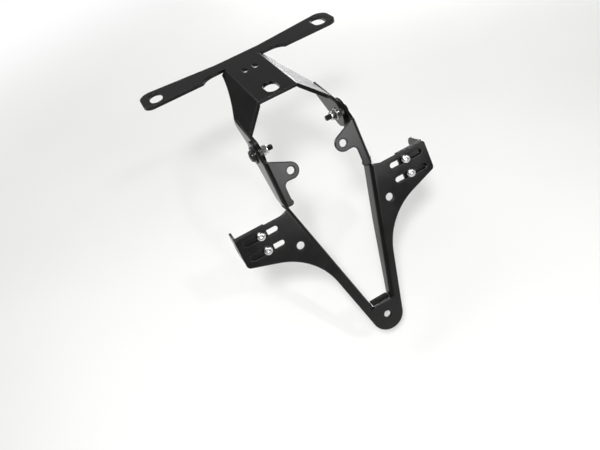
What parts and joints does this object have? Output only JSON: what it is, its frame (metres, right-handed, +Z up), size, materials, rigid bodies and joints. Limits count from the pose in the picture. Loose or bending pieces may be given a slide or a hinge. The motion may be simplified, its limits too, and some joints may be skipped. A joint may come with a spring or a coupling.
{
  "type": "tail tidy",
  "caption": "Folded steel number plate hanger for a motorbike's tail: a slotted tail bracket hinged to a forked plate carrier with sliding indicator brackets.",
  "frame": {"origin": "halfway between the two long slots, on the top face of the bar that bolts up under the tail", "axes": "+X to the right seen from behind the bike, +Y forward along the bike, +Z up, square to the bar's top face"},
  "size_m": [0.245, 0.2811, 0.2358],
  "materials": {
    "black_coat": "satin black powder coat on folded steel sheet",
    "black_hardware": "black oxide steel",
    "zinc": "bright zinc plate"
  },
  "bodies": {
    "tail": {"tail_bracket": "black_coat", "hinge_outer_washer_left": "black_hardware", "hinge_screw_left": "black_hardware", "hinge_inner_washer_left": "zinc", "hinge_nut_left": "zinc", "hinge_outer_washer_right": "black_hardware", "hinge_screw_right": "black_hardware", "hinge_inner_washer_right": "zinc", "hinge_nut_right": "zinc"},
    "carrier": {"plate_carrier": "black_coat"},
    "indicator_left": {"indicator_bracket_left": "black_coat", "wing_screw_left_upper": "zinc", "wing_nut_left_upper": "zinc", "wing_screw_left_lower": "zinc", "wing_nut_left_lower": "zinc"},
    "indicator_right": {"indicator_bracket_right": "black_coat", "wing_screw_right_upper": "zinc", "wing_nut_right_upper": "zinc", "wing_screw_right_lower": "zinc", "wing_nut_right_lower": "zinc"}
  },
  "joints": [
    {"name": "plate_tilt", "type": "hinge", "parent": "tail", "child": "carrier", "pos_m": [0, -0.142, -0.0353], "axis": [1, 0, 0], "range_deg": [-50, 30]},
    {"name": "indicator_slide_left", "type": "slide", "parent": "carrier", "child": "indicator_left", "axis": [-1, 0, 0], "range_m": [-0.0155, 0.0158]},
    {"name": "indicator_slide_right", "type": "slide", "parent": "carrier", "child": "indicator_right", "axis": [1, 0, 0], "range_m": [-0.0155, 0.0158]}
  ]
}
